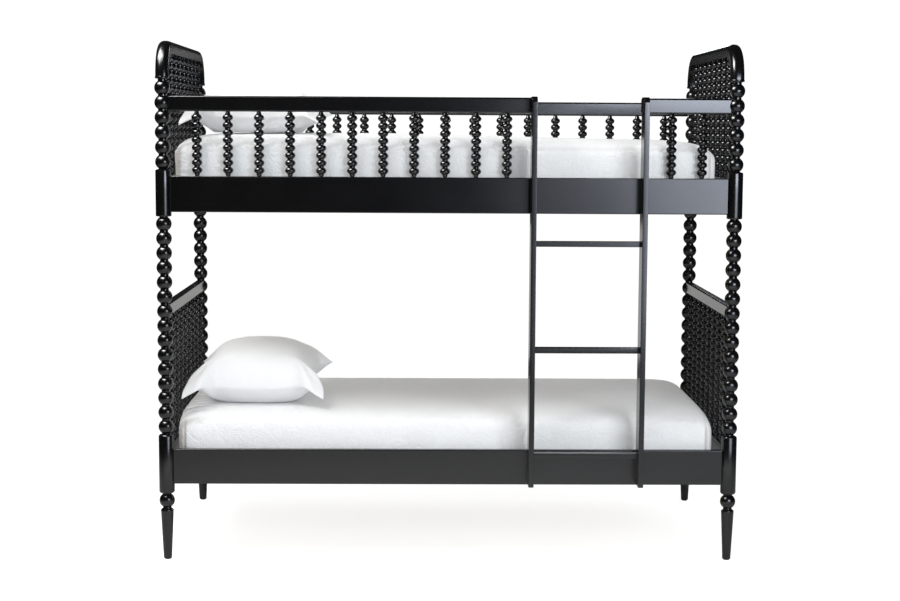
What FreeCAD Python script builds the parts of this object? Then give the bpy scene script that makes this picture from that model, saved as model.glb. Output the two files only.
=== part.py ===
import FreeCAD, Part
import Sketcher
import math
import os

# Twin-over-twin bunk bed with spool-turned posts and spindles, in millimetres.
# X runs along the bed with the head end at -X, Y runs from the ladder side to the
# wall side, Z is up, and the origin is on the floor under the middle of the bed.

DOC = FreeCAD.newDocument("bunk_bed")
Vector = FreeCAD.Vector

LOWER_BEAD_COUNT = 15
UPPER_BEAD_COUNT = 6
GUARD_BEAD_COUNT = 8
RUNG_COUNT = 3
POST_SIDES = 12
SPINDLE_SIDES = 6
FASTENER_SIDES = 6
# Two edges count as parallel when they turn by less than this share.
PARALLEL_SHARE = 1e-6
# Two places closer than this many millimetres count as one.
SAME_WITHIN = 0.3

# Driving sizes, one cell each.
SIZES = (
    # bedding
    ("mattress_length", 1905.0),
    ("mattress_width", 952.0),
    ("mattress_height", 220.0),
    ("mattress_edge", 26.0),
    ("mattress_crown", 9.0),
    ("lower_mattress_shift", 8.0),
    ("upper_mattress_shift", 18.0),
    ("pillow_length", 508.0),
    ("pillow_width", 660.0),
    ("lower_pillow_height", 205.0),
    ("upper_pillow_height", 176.0),
    ("pillow_gap", 46.0),
    ("pillow_front_gap", 76.0),
    ("bedding_gap", 0.3),
    # free room round a mattress, both sides together
    ("end_room", 83.0),
    ("side_room", 51.0),
    # turned posts
    ("bead_radius", 27.2),
    ("neck_radius", 16.0),
    ("bead_pitch", 51.0),
    ("glide_radius", 11.0),
    ("glide_height", 3.0),
    ("foot_toe_radius", 14.8),
    ("foot_top_radius", 22.7),
    ("foot_height", 176.0),
    ("foot_neck_height", 7.4),
    ("ball_height", 50.0),
    ("barrel_shoulder", 6.0),
    ("lower_barrel_height", 212.5),
    ("upper_barrel_height", 163.1),
    ("collar_radius", 24.7),
    ("collar_height", 7.0),
    ("collar_neck_height", 6.0),
    ("pin_radius", 6.0),
    ("pin_length", 100.0),
    ("pin_clearance", 0.4),
    # side rails and end rails
    ("rail_height", 125.0),
    ("rail_thickness", 22.0),
    ("rail_proud", 8.0),
    ("rail_seat", 22.0),
    ("lower_rail_rise", 34.5),
    ("upper_rail_rise", 15.5),
    ("housing_overrun", 10.0),
    ("bolt_radius", 4.0),
    ("bolt_head_radius", 8.0),
    ("bolt_head_height", 5.0),
    ("bolt_head_recess", 6.0),
    ("bolt_clearance", 0.3),
    ("bolt_reach", 58.0),
    ("nut_radius", 7.0),
    ("nut_length", 14.0),
    ("nut_inset", 44.0),
    # slats on ledgers
    ("ledger_width", 20.0),
    ("ledger_height", 20.0),
    ("slat_width", 68.0),
    ("slat_thickness", 18.0),
    ("slat_clearance", 2.0),
    ("slat_pitch", 148.0),
    ("slat_margin", 60.0),
    ("lower_slat_rise", 40.0),
    ("upper_slat_rise", 55.0),
    # guard and end panels
    ("guard_clear", 222.5),
    ("guard_rail_height", 54.0),
    ("guard_seat", 16.0),
    ("guard_pitch", 107.4),
    ("guard_first", 117.2),
    ("guard_last", 40.0),
    ("rear_pitch", 110.0),
    ("panel_pitch", 109.6),
    ("spindle_margin", 80.0),
    ("spindle_bead_radius", 18.5),
    ("spindle_neck_radius", 10.5),
    ("spindle_tip_radius", 7.0),
    ("spindle_end", 7.6),
    ("panel_spindle_radius", 16.0),
    ("panel_spindle_end", 32.0),
    ("panel_top_clear", 467.5),
    ("panel_top_height", 44.0),
    ("panel_top_thickness", 30.0),
    # bent rail across the top of each upper end
    ("bow_width", 45.6),
    ("bow_depth", 45.0),
    ("bow_height", 126.0),
    ("bow_leg", 4.0),
    ("bow_nose", 12.0),
    # ladder
    ("ladder_clear", 365.0),
    ("ladder_offset", 313.5),
    ("stile_thickness", 18.5),
    ("stile_depth", 85.0),
    ("stile_rise", 2.6),
    ("stile_drop", 6.5),
    ("stile_corner_radius", 21.0),
    ("rung_thickness", 18.5),
    ("rung_depth", 44.0),
    ("rung_edge_radius", 4.0),
    ("rung_housing", 5.0),
    ("rung_low_rise", 96.0),
    ("rung_top_drop", 93.5),
    ("ladder_bolt_height", 3.0),
    ("ladder_bolt_reach", 62.0),
    ("ladder_bolt_low", 62.0),
    ("ladder_bolt_high", 104.0),
)

# Places worked out from the driving sizes, as formulas in a second sheet.
PLACES = (
    ("bed_length", "Sizes.mattress_length + Sizes.end_room"),
    ("bed_width", "Sizes.mattress_width + Sizes.side_room"),
    ("half_length", "bed_length / 2"),
    ("front_y", "(Sizes.rail_proud + Sizes.stile_depth - bed_width - Sizes.bead_radius) / 2"),
    ("rear_y", "front_y + bed_width"),
    ("middle_y", "front_y + bed_width / 2"),
    ("rail_offset", "Sizes.rail_thickness / 2 - Sizes.rail_proud"),
    ("front_rail_y", "front_y - Sizes.rail_proud"),
    ("rear_rail_y", "rear_y + Sizes.rail_proud - Sizes.rail_thickness"),
    ("ball_z", "Sizes.glide_height + Sizes.foot_height + Sizes.foot_neck_height"),
    ("lower_barrel_z", "ball_z + Sizes.ball_height"),
    ("lower_beads_z", "lower_barrel_z + Sizes.lower_barrel_height"),
    ("split_z", f"lower_beads_z + Sizes.bead_pitch * {LOWER_BEAD_COUNT}"),
    ("upper_beads_z", "split_z + Sizes.upper_barrel_height"),
    ("upper_neck_z", f"upper_beads_z + Sizes.bead_pitch * {UPPER_BEAD_COUNT}"),
    ("bow_z", "upper_neck_z + Sizes.collar_neck_height + Sizes.collar_height"),
    ("lower_rail_z", "lower_barrel_z + Sizes.lower_rail_rise"),
    ("upper_rail_z", "split_z + Sizes.upper_rail_rise"),
    ("lower_rail_top", "lower_rail_z + Sizes.rail_height"),
    ("upper_rail_top", "upper_rail_z + Sizes.rail_height"),
    ("guard_z", "upper_rail_top + Sizes.guard_clear"),
    ("guard_top", "guard_z + Sizes.guard_rail_height"),
    ("panel_top_z", "lower_rail_top + Sizes.panel_top_clear"),
    ("bow_under_z", "bow_z + Sizes.bow_height - Sizes.bow_depth"),
    ("bow_bend", "Sizes.bow_height - Sizes.bow_depth - Sizes.bow_leg"),
    ("lower_slat_top", "lower_rail_z + Sizes.lower_slat_rise"),
    ("upper_slat_top", "upper_rail_z + Sizes.upper_slat_rise"),
    ("right_stile_x", "half_length - Sizes.ladder_offset - Sizes.stile_thickness"),
    ("left_stile_x", "right_stile_x - Sizes.ladder_clear - Sizes.stile_thickness"),
    ("stile_z", "lower_rail_z + Sizes.stile_drop"),
    ("stile_height", "guard_top + Sizes.stile_rise - stile_z"),
    ("top_rung_z", "upper_rail_z - Sizes.rung_top_drop - Sizes.rung_thickness"),
    ("rung_pitch", f"(top_rung_z - stile_z - Sizes.rung_low_rise) / {RUNG_COUNT - 1}"),
)


def make_sheet(name, rows, prefix):
    sheet = DOC.addObject("Spreadsheet::Sheet", name)
    for number, (alias, content) in enumerate(rows, start=1):
        sheet.set(f"A{number}", alias)
        sheet.set(f"B{number}", f"{prefix}{content}")
        sheet.setAlias(f"B{number}", alias)
    DOC.recompute()
    return sheet


sizes_sheet = make_sheet("Sizes", SIZES, "")
places_sheet = make_sheet("Places", PLACES, "=")
DRIVING = {alias for alias, _ in SIZES}
NODES = {}


def value(alias):
    """The number in the cell with this alias."""
    sheet = sizes_sheet if alias in DRIVING else places_sheet
    return float(getattr(sheet, alias))


def finish(node, thing):
    """Give a finished sub-part its node name and list it for export."""
    thing.Label = node
    NODES[node] = thing
    return thing


def bind(thing, **formulas):
    for name, formula in formulas.items():
        thing.setExpression(name.replace("_", "."), formula)


def board(name, at, size):
    """A box whose low corner and three sizes are formulas."""
    box = DOC.addObject("Part::Box", name)
    bind(box, Length=size[0], Width=size[1], Height=size[2])
    bind(box, Placement_Base_x=at[0], Placement_Base_y=at[1], Placement_Base_z=at[2])
    return box


AXIS_TURNS = {
    "x": FreeCAD.Rotation(Vector(0, 1, 0), 90),
    "y": FreeCAD.Rotation(Vector(1, 0, 0), -90),
    "z": FreeCAD.Rotation(),
}


def rod(name, axis, start, radius, length):
    """A few-sided round rod along an axis, from the formulas of its start point."""
    prism = DOC.addObject("Part::Prism", name)
    prism.Polygon = FASTENER_SIDES
    prism.Placement = FreeCAD.Placement(Vector(), AXIS_TURNS[axis])
    bind(prism, Circumradius=radius, Height=length)
    bind(prism, Placement_Base_x=start[0], Placement_Base_y=start[1], Placement_Base_z=start[2])
    return prism


def group(name, members):
    compound = DOC.addObject("Part::Compound", name)
    compound.Links = members
    return compound


def cut(name, base, tools):
    result = DOC.addObject("Part::Cut", name)
    result.Base = base
    result.Tool = tools[0] if len(tools) == 1 else group(name + "_tools", tools)
    return result


def fuse(name, members):
    result = DOC.addObject("Part::MultiFuse", name)
    result.Shapes = members
    return result


def faceted(rings):
    """A solid with flat facets through level rings of as many points each, lowest first."""
    faces = [Part.Face(Part.makePolygon(ring + ring[:1])) for ring in (rings[0], rings[-1])]
    for low, high in zip(rings, rings[1:]):
        for k, corner in enumerate(low):
            after = (k + 1) % len(low)
            along_low = low[after] - corner
            along_high = high[after] - high[k]
            if along_low.cross(along_high).Length < PARALLEL_SHARE * along_low.Length ** 2:
                loops = [[corner, low[after], high[after], high[k]]]
            else:
                loops = [[corner, low[after], high[k]], [low[after], high[after], high[k]]]
            faces += [Part.Face(Part.makePolygon(loop + loop[:1])) for loop in loops]
    solid = Part.makeSolid(Part.makeShell(faces))
    if solid.Volume < 0:
        solid.reverse()
    return solid


def turned(rings, sides):
    """A turned solid through rings of (radius, height), with this many sides."""
    turn = 2 * math.pi / sides
    return faceted([
        [Vector(radius * math.cos(turn * k), radius * math.sin(turn * k), height)
         for k in range(sides)]
        for radius, height in rings
    ])


def beads(start, count, pitch, neck, crest):
    """Rings of a row of beads, each a crest and then a neck, after a ring at its start."""
    rings = []
    for number in range(count):
        low = start + number * pitch
        rings.append((crest, low + pitch / 2))
        rings.append((neck, low + pitch))
    return rings


def barrel(start, height, neck, crest, shoulder):
    """Rings of a straight barrel between two necks, after a ring at its start."""
    end = start + height
    return [(crest, start + shoulder), (crest, end - shoulder), (neck, end)]


def feature(name, shape, x=0.0, y=0.0, z=0.0):
    thing = DOC.addObject("Part::Feature", name)
    thing.Shape = shape
    thing.Placement = FreeCAD.Placement(Vector(x, y, z), FreeCAD.Rotation())
    return thing


# Signs and names of the two ends and the two sides
ENDS = (("head", -1), ("foot", 1))
SIDES = (("front", -1), ("rear", 1))


def inward_x(end_sign, near, length):
    """Formula of the low X edge of a span that starts inward of the post axis."""
    if end_sign < 0:
        return f"-Places.half_length + ({near})"
    return f"Places.half_length - ({near}) - ({length})"


def inward_y(side_sign, near, length):
    if side_sign < 0:
        return f"Places.front_y + ({near})"
    return f"Places.rear_y - ({near}) - ({length})"


def side_rail_y(side_sign):
    return "Places.front_rail_y" if side_sign < 0 else "Places.rear_rail_y"


def post_y(side_sign):
    return "Places.front_y" if side_sign < 0 else "Places.rear_y"


POST_REACH = "Sizes.bead_radius + Sizes.housing_overrun"
BOLT_HOLE = "Sizes.bolt_radius + Sizes.bolt_clearance"
HEAD_SEAT = "Sizes.bead_radius - Sizes.bolt_head_recess - Sizes.bolt_head_height"


def side_housing(name, end_sign, side_sign, seat, low_z, height):
    """The pocket in a post that takes the end of a board running along the bed."""
    depth = f"{POST_REACH} - {seat}"
    at = (inward_x(end_sign, seat, depth), side_rail_y(side_sign), low_z)
    return board(name, at, (depth, "Sizes.rail_thickness", height))


def end_housing(name, end_sign, side_sign, seat, low_z, height, thickness):
    """The pocket in a post that takes the end of a board running across the bed."""
    depth = f"{POST_REACH} - {seat}"
    middle = inward_x(end_sign, f"-({thickness}) / 2", thickness)
    at = (middle, inward_y(side_sign, seat, depth), low_z)
    return board(name, at, (thickness, depth, height))


def bolt_holes(name, end_sign, side_sign, low_z):
    """The bolt's way through a post from its outer side, with the head's recess."""
    centre_y = f"{side_rail_y(side_sign)} + Sizes.rail_thickness / 2"
    centre_z = f"{low_z} + Sizes.rail_height / 2"
    length = f"2 * ({POST_REACH})"
    way_x = inward_x(end_sign, f"-({POST_REACH})", length)
    way = rod(name + "_way", "x", (way_x, centre_y, centre_z), BOLT_HOLE, length)
    recess = f"{POST_REACH} - ({HEAD_SEAT})"
    head_x = inward_x(end_sign, f"-({POST_REACH})", recess)
    head = rod(name + "_head", "x", (head_x, centre_y, centre_z),
               "Sizes.bolt_head_radius + Sizes.bolt_clearance", recess)
    return [way, head]


def bolt_and_nut(name, end_sign, side_sign, low_z):
    """One side rail bolt with its head in the post and its barrel nut in the rail."""
    centre_y = f"{side_rail_y(side_sign)} + Sizes.rail_thickness / 2"
    centre_z = f"{low_z} + Sizes.rail_height / 2"
    length = f"{HEAD_SEAT} + Sizes.rail_seat + Sizes.bolt_reach"
    shank = rod(name + "_shank", "x",
                (inward_x(end_sign, f"-({HEAD_SEAT})", length), centre_y, centre_z),
                "Sizes.bolt_radius", length)
    outer = f"{HEAD_SEAT} + Sizes.bolt_head_height"
    head = rod(name + "_cap", "x",
               (inward_x(end_sign, f"-({outer})", "Sizes.bolt_head_height"), centre_y, centre_z),
               "Sizes.bolt_head_radius", "Sizes.bolt_head_height")
    nut = nut_rod(name + "_nut", end_sign, side_sign, low_z)
    bored = cut(name + "_bored_nut", nut, [shank])
    return [fuse(name, [shank, head]), bored]


def nut_rod(name, end_sign, side_sign, low_z):
    """The barrel nut's cylinder, reaching in from the rail's inner face."""
    x = inward_x(end_sign, "Sizes.rail_seat + Sizes.nut_inset", "0")
    inner = "Places.front_rail_y + Sizes.rail_thickness - Sizes.nut_length"
    y = inner if side_sign < 0 else "Places.rear_rail_y"
    return rod(name, "y", (x, y, f"{low_z} + Sizes.rail_height / 2"),
               "Sizes.nut_radius", "Sizes.nut_length")


def lower_post_rings():
    foot = value("glide_height") + value("foot_height")
    neck = value("neck_radius")
    crest = value("bead_radius")
    rings = [(value("foot_toe_radius"), value("glide_height")), (value("foot_top_radius"), foot)]
    rings.append((neck, value("ball_z")))
    rings += beads(value("ball_z"), 1, value("ball_height"), neck, crest)
    rings += barrel(value("lower_barrel_z"), value("lower_barrel_height"), neck, crest,
                    value("barrel_shoulder"))
    rings += beads(value("lower_beads_z"), LOWER_BEAD_COUNT, value("bead_pitch"), neck, crest)
    return rings


def upper_post_rings():
    neck = value("neck_radius")
    crest = value("bead_radius")
    collar = value("collar_radius")
    collar_z = value("upper_neck_z") + value("collar_neck_height")
    rings = [(neck, value("split_z"))]
    rings += barrel(value("split_z"), value("upper_barrel_height"), neck, crest,
                    value("barrel_shoulder"))
    rings += beads(value("upper_beads_z"), UPPER_BEAD_COUNT, value("bead_pitch"), neck, crest)
    rings += [(collar, collar_z), (collar, collar_z + value("collar_height"))]
    return rings


def make_posts():
    lower = turned(lower_post_rings(), POST_SIDES)
    upper = turned(upper_post_rings(), POST_SIDES)
    for end, end_sign in ENDS:
        for side, side_sign in SIDES:
            where = f"{end}_{side}"
            x = end_sign * value("half_length")
            y = value("front_y") if side_sign < 0 else value("rear_y")
            pin_x = inward_x(end_sign, "0", "0")
            pin_y = post_y(side_sign)
            tools = [
                side_housing(f"lower_side_housing_{where}", end_sign, side_sign,
                             "Sizes.rail_seat", "Places.lower_rail_z", "Sizes.rail_height"),
                end_housing(f"lower_end_housing_{where}", end_sign, side_sign,
                            "Sizes.rail_seat", "Places.lower_rail_z", "Sizes.rail_height",
                            "Sizes.rail_thickness"),
                end_housing(f"lower_top_housing_{where}", end_sign, side_sign,
                            "Sizes.guard_seat", "Places.panel_top_z", "Sizes.panel_top_height",
                            "Sizes.panel_top_thickness"),
                rod(f"lower_pin_hole_{where}", "z",
                    (pin_x, pin_y, "Places.split_z - Sizes.pin_length / 2"),
                    "Sizes.pin_radius", "Sizes.pin_length"),
            ]
            tools += bolt_holes(f"lower_bolt_{where}", end_sign, side_sign, "Places.lower_rail_z")
            blank = feature(f"lower_blank_{where}", lower.copy(), x, y)
            post = cut(f"lower_cut_{where}", blank, tools)
            finish(f"lower_post_{where}", post)

            tools = [
                side_housing(f"upper_side_housing_{where}", end_sign, side_sign,
                             "Sizes.rail_seat", "Places.upper_rail_z", "Sizes.rail_height"),
                end_housing(f"upper_end_housing_{where}", end_sign, side_sign,
                            "Sizes.rail_seat", "Places.upper_rail_z", "Sizes.rail_height",
                            "Sizes.rail_thickness"),
                side_housing(f"guard_housing_{where}", end_sign, side_sign,
                             "Sizes.guard_seat", "Places.guard_z", "Sizes.guard_rail_height"),
                rod(f"upper_pin_hole_{where}", "z",
                    (pin_x, pin_y, "Places.split_z - Sizes.pin_length / 2"),
                    "Sizes.pin_radius + Sizes.pin_clearance",
                    "Sizes.pin_length + Sizes.pin_clearance"),
            ]
            tools += bolt_holes(f"upper_bolt_{where}", end_sign, side_sign, "Places.upper_rail_z")
            blank = feature(f"upper_blank_{where}", upper.copy(), x, y)
            post = cut(f"upper_cut_{where}", blank, tools)
            finish(f"upper_post_{where}", post)


def make_glides_and_pins():
    glides = []
    pins = []
    for end, end_sign in ENDS:
        for side, side_sign in SIDES:
            x = inward_x(end_sign, "0", "0")
            y = post_y(side_sign)
            glides.append(rod(f"glide_{end}_{side}", "z", (x, y, "0"),
                              "Sizes.glide_radius", "Sizes.glide_height"))
            pins.append(rod(f"pin_{end}_{side}", "z",
                            (x, y, "Places.split_z - Sizes.pin_length / 2"),
                            "Sizes.pin_radius", "Sizes.pin_length"))
    finish("floor_glides", group("glides", glides))
    finish("stacking_pins", group("pins", pins))


def make_side_rails(level, low_z):
    """Front and rear side rails of one bed, with their bolts, ledgers and slats."""
    length = "Places.bed_length - 2 * Sizes.rail_seat"
    bolts = []
    for side, side_sign in SIDES:
        at = (inward_x(-1, "Sizes.rail_seat", length), side_rail_y(side_sign), low_z)
        plank = board(f"{level}_plank_{side}", at, (length, "Sizes.rail_thickness",
                                                   "Sizes.rail_height"))
        tools = []
        for end, end_sign in ENDS:
            name = f"{level}_rail_bolt_{end}_{side}"
            way_length = "Sizes.bolt_reach + Sizes.bolt_clearance + Sizes.housing_overrun"
            near = "Sizes.rail_seat - Sizes.housing_overrun"
            centre_y = f"{side_rail_y(side_sign)} + Sizes.rail_thickness / 2"
            centre_z = f"{low_z} + Sizes.rail_height / 2"
            tools.append(rod(name + "_hole", "x",
                             (inward_x(end_sign, near, way_length), centre_y, centre_z),
                             BOLT_HOLE, way_length))
            tools.append(nut_rod(name + "_nut_hole", end_sign, side_sign, low_z))
            bolts += bolt_and_nut(name, end_sign, side_sign, low_z)
        if level == "upper" and side == "front":
            tools += ladder_bolt_holes()
        finish(f"{level}_side_rail_{side}", cut(f"{level}_rail_cut_{side}", plank, tools))
    finish(f"{level}_rail_bolts", group(f"{level}_bolts", bolts))


def make_slats(level, slat_top):
    """Two ledgers inside the side rails and the slats that lie on them."""
    length = "Places.bed_length - 2 * Sizes.rail_seat - 2 * Sizes.rail_thickness"
    base = f"{slat_top} - Sizes.slat_thickness"
    ledgers = []
    for side, side_sign in SIDES:
        near = "Sizes.rail_thickness - Sizes.rail_proud"
        at = (f"-({length}) / 2", inward_y(side_sign, near, "Sizes.ledger_width"),
              f"{base} - Sizes.ledger_height")
        ledgers.append(board(f"{level}_ledger_{side}", at,
                             (length, "Sizes.ledger_width", "Sizes.ledger_height")))
    finish(f"{level}_ledgers", group(f"{level}_ledger_pair", ledgers))

    room = value("mattress_length") - 2 * value("slat_margin") - value("slat_width")
    count = int(room / value("slat_pitch")) + 1
    first = (count - 1) / 2
    near = "Sizes.rail_thickness - Sizes.rail_proud + Sizes.slat_clearance"
    width = f"Places.bed_width - 2 * ({near})"
    slats = []
    for number in range(count):
        x = f"({number} - {first}) * Sizes.slat_pitch - Sizes.slat_width / 2"
        slats.append(board(f"{level}_slat_{number + 1}", (x, inward_y(-1, near, width), base),
                           ("Sizes.slat_width", width, "Sizes.slat_thickness")))
    finish(f"{level}_slats", group(f"{level}_slat_set", slats))


def spool(height, pitch_count):
    """A guard spindle: a row of beads between two tapered ends."""
    neck = value("spindle_neck_radius")
    crest = value("spindle_bead_radius")
    tip = value("spindle_tip_radius")
    end = value("spindle_end")
    pitch = (height - 2 * end) / pitch_count
    rings = [(tip, 0.0), (neck, end)]
    rings += beads(end, pitch_count, pitch, neck, crest)
    rings.append((tip, height))
    return turned(rings, SPINDLE_SIDES)


def plain_spindle(height):
    """An end panel spindle's rod, at its beads' mean radius, with long tapered ends."""
    body = value("panel_spindle_radius")
    tip = value("spindle_tip_radius")
    end = value("panel_spindle_end")
    return turned([(tip, 0.0), (body, end), (body, height - end), (tip, height)], SPINDLE_SIDES)


def spread(room, pitch, first_least):
    """Places of as many copies as fit at this pitch, centred in the room."""
    count = int((room - 2 * first_least) / pitch) + 1
    first = (room - (count - 1) * pitch) / 2
    return [first + number * pitch for number in range(count)]


def run(room, pitch, first, last_least):
    """Places of as many copies as fit at this pitch, counted from the post."""
    count = int((room - first - last_least) / pitch) + 1
    return [first + number * pitch for number in range(count)]


def row(name, solid, places):
    copies = []
    for x, y, z in places:
        copy = solid.copy()
        copy.translate(Vector(x, y, z))
        copies.append(copy)
    return finish(name, feature(name + "_set", Part.makeCompound(copies)))


def make_guards():
    half = value("half_length")
    rail_y = value("front_y") + value("rail_offset")
    rear_y = value("rear_y") - value("rail_offset")
    low_z = value("upper_rail_top")
    solid = spool(value("guard_clear"), GUARD_BEAD_COUNT)
    pitch = value("guard_pitch")
    first = value("guard_first")
    last = value("guard_last")

    long_run = run(value("left_stile_x") + half, pitch, first, last)
    short_run = run(value("ladder_offset"), pitch, first, last)
    rear_run = spread(value("bed_length"), value("rear_pitch"), value("spindle_margin"))
    row("guard_spindles_front_long", solid, [(x - half, rail_y, low_z) for x in long_run])
    row("guard_spindles_front_short", solid, [(half - x, rail_y, low_z) for x in short_run])
    row("guard_spindles_rear", solid, [(x - half, rear_y, low_z) for x in rear_run])

    size = ("Sizes.rail_thickness", "Sizes.guard_rail_height")
    seat = "Sizes.guard_seat"
    start = inward_x(-1, seat, "0")
    long_length = f"Places.left_stile_x + Sizes.stile_thickness - ({start})"
    plank = board("guard_long_plank", (start, side_rail_y(-1), "Places.guard_z"),
                  (long_length, *size))
    finish("guard_rail_front_long",
           cut("guard_long_cut", plank, [guard_bolt_hole("long", "left")]))
    short_length = f"Places.half_length - {seat} - Places.right_stile_x"
    plank = board("guard_short_plank", ("Places.right_stile_x", side_rail_y(-1), "Places.guard_z"),
                  (short_length, *size))
    finish("guard_rail_front_short",
           cut("guard_short_cut", plank, [guard_bolt_hole("short", "right")]))
    full_length = f"Places.bed_length - 2 * {seat}"
    finish("guard_rail_rear",
           board("guard_rear_plank", (start, side_rail_y(1), "Places.guard_z"),
                 (full_length, *size)))


def make_end_panels():
    spacing = spread(value("bed_width"), value("panel_pitch"), value("spindle_margin"))
    for end, end_sign in ENDS:
        x = end_sign * value("half_length")
        length = "Places.bed_width - 2 * Sizes.rail_seat"
        across = inward_x(end_sign, "-Sizes.rail_thickness / 2", "Sizes.rail_thickness")
        for level in ("lower", "upper"):
            at = (across, inward_y(-1, "Sizes.rail_seat", "0"), f"Places.{level}_rail_z")
            finish(f"{end}_{level}_bottom_rail",
                   board(f"{end}_{level}_plank", at,
                         ("Sizes.rail_thickness", length, "Sizes.rail_height")))

        length = "Places.bed_width - 2 * Sizes.guard_seat"
        across = inward_x(end_sign, "-Sizes.panel_top_thickness / 2", "Sizes.panel_top_thickness")
        at = (across, inward_y(-1, "Sizes.guard_seat", "0"), "Places.panel_top_z")
        finish(f"{end}_lower_top_rail",
               board(f"{end}_top_plank", at,
                     ("Sizes.panel_top_thickness", length, "Sizes.panel_top_height")))

        lower = plain_spindle(value("panel_top_clear"))
        upper = plain_spindle(value("bow_under_z") - value("upper_rail_top"))
        front = value("front_y")
        row(f"{end}_lower_spindles", lower,
            [(x, front + y, value("lower_rail_top")) for y in spacing])
        row(f"{end}_upper_spindles", upper,
            [(x, front + y, value("upper_rail_top")) for y in spacing])
        make_bow(end, end_sign)


def origin_plane(body, role):
    for plane in body.Origin.OriginFeatures:
        if plane.Role == role:
            return plane
    raise RuntimeError(f"no plane {role}")


def rectangle(body, name, role, width, height):
    """A sketch of a rectangle that stands on the sketch's X axis, centred on its Y axis."""
    sketch = body.newObject("Sketcher::SketchObject", name)
    sketch.AttachmentSupport = (origin_plane(body, role), [""])
    sketch.MapMode = "FlatFace"
    corners = (Vector(-1, 0, 0), Vector(1, 0, 0), Vector(1, 1, 0), Vector(-1, 1, 0))
    for number in range(4):
        sketch.addGeometry(Part.LineSegment(corners[number], corners[(number + 1) % 4]), False)
    for number in range(4):
        sketch.addConstraint(Sketcher.Constraint("Coincident", number, 2, (number + 1) % 4, 1))
    for number in (1, 3):
        sketch.addConstraint(Sketcher.Constraint("Vertical", number))
    sketch.addConstraint(Sketcher.Constraint("Horizontal", 2))
    sketch.addConstraint(Sketcher.Constraint("PointOnObject", 0, 1, -1))
    sketch.addConstraint(Sketcher.Constraint("Symmetric", 0, 1, 0, 2, -1, 1))
    across = sketch.addConstraint(Sketcher.Constraint("DistanceX", 0, 1, 0, 2, 1.0))
    up = sketch.addConstraint(Sketcher.Constraint("DistanceY", 1, 1, 1, 2, 1.0))
    sketch.setExpression(f"Constraints[{across}]", width)
    sketch.setExpression(f"Constraints[{up}]", height)
    return sketch


def pad(body, name, sketch, length):
    result = body.newObject("PartDesign::Pad", name)
    result.Profile = sketch
    bind(result, Length=length)
    DOC.recompute()
    return result


def pocket(body, name, sketch, length):
    """A cut towards +X, which has to take material away."""
    before = body.Shape.Volume
    result = body.newObject("PartDesign::Pocket", name)
    result.Profile = sketch
    result.Reversed = True
    bind(result, Length=length)
    DOC.recompute()
    if body.Shape.Volume >= before:
        raise RuntimeError(f"{name} cut nothing")
    return result


def pick_edges(base, chosen):
    """Names of the base feature's edges that the chosen rule accepts."""
    names = []
    for number, edge in enumerate(base.Shape.Edges, start=1):
        points = [vertex.Point for vertex in edge.Vertexes]
        points.append(edge.valueAt((edge.FirstParameter + edge.LastParameter) / 2))
        if chosen(points):
            names.append(f"Edge{number}")
    return names


def round_edges(body, name, base, chosen, radius):
    result = body.newObject("PartDesign::Fillet", name)
    result.Base = (base, pick_edges(base, chosen))
    bind(result, Radius=radius)
    DOC.recompute()
    return result


def bevel_edges(body, name, base, chosen, size):
    result = body.newObject("PartDesign::Chamfer", name)
    result.Base = (base, pick_edges(base, chosen))
    bind(result, Size=size)
    DOC.recompute()
    return result


def place(thing, x, y, z):
    bind(thing, Placement_Base_x=x, Placement_Base_y=y, Placement_Base_z=z)


def same_place(first, second):
    return abs(first - second) < SAME_WITHIN


def make_bow(end, end_sign):
    """The bent top rail: two legs and a crosspiece with large bends and a round nose."""
    half_out = (value("bed_width") + value("bow_depth")) / 2
    half_in = (value("bed_width") - value("bow_depth")) / 2
    top = value("bow_height")
    under = top - value("bow_depth")
    body = DOC.addObject("PartDesign::Body", f"{end}_bow")
    outline = rectangle(body, f"{end}_bow_outline", "YZ_Plane",
                        "Places.bed_width + Sizes.bow_depth", "Sizes.bow_height")
    blank = pad(body, f"{end}_bow_blank", outline, "Sizes.bow_width")
    inside = rectangle(body, f"{end}_bow_inside", "YZ_Plane",
                       "Places.bed_width - Sizes.bow_depth", "Sizes.bow_height - Sizes.bow_depth")
    blank = pocket(body, f"{end}_bow_opening", inside, "Sizes.bow_width")

    def outer_corner(points):
        return all(same_place(abs(p.y), half_out) and same_place(p.z, top) for p in points)

    def inner_corner(points):
        return all(same_place(abs(p.y), half_in) and same_place(p.z, under) for p in points)

    def nose(points):
        flat = all(same_place(p.x, points[0].x) for p in points)
        return flat and all(abs(p.y) > half_in + value("bow_depth") / 2 or
                            p.z > under + value("bow_depth") / 2 for p in points)

    blank = round_edges(body, f"{end}_bow_inner_bends", blank, inner_corner,
                        "Places.bow_bend")
    blank = round_edges(body, f"{end}_bow_outer_bends", blank, outer_corner,
                        "Places.bow_bend + Sizes.bow_depth")
    bevel_edges(body, f"{end}_bow_nose", blank, nose, "Sizes.bow_nose")
    place(body, inward_x(end_sign, "-Sizes.bow_width / 2", "Sizes.bow_width"),
          "Places.middle_y", "Places.bow_z")
    finish(f"{end}_bow_rail", body)


# Heights of the ladder's bolts on each stile
LADDER_BOLTS = (
    ("low", "Places.upper_rail_z + Sizes.ladder_bolt_low"),
    ("high", "Places.upper_rail_z + Sizes.ladder_bolt_high"),
    ("guard", "Places.guard_z + Sizes.guard_rail_height / 2"),
)


def ladder_bolt_rod(name, stile, height, radius):
    """A rod from the inner face of the front rail out into a stile's rear edge."""
    x = f"Places.{stile}_stile_x + Sizes.stile_thickness / 2"
    y = "Places.front_rail_y + Sizes.rail_thickness - Sizes.ladder_bolt_reach"
    return rod(name, "y", (x, y, height), radius, "Sizes.ladder_bolt_reach")


def ladder_bolt_holes():
    return [
        ladder_bolt_rod(f"rail_hole_{stile}_{place_name}", stile, height, BOLT_HOLE)
        for stile in ("left", "right")
        for place_name, height in LADDER_BOLTS[:2]
    ]


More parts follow.
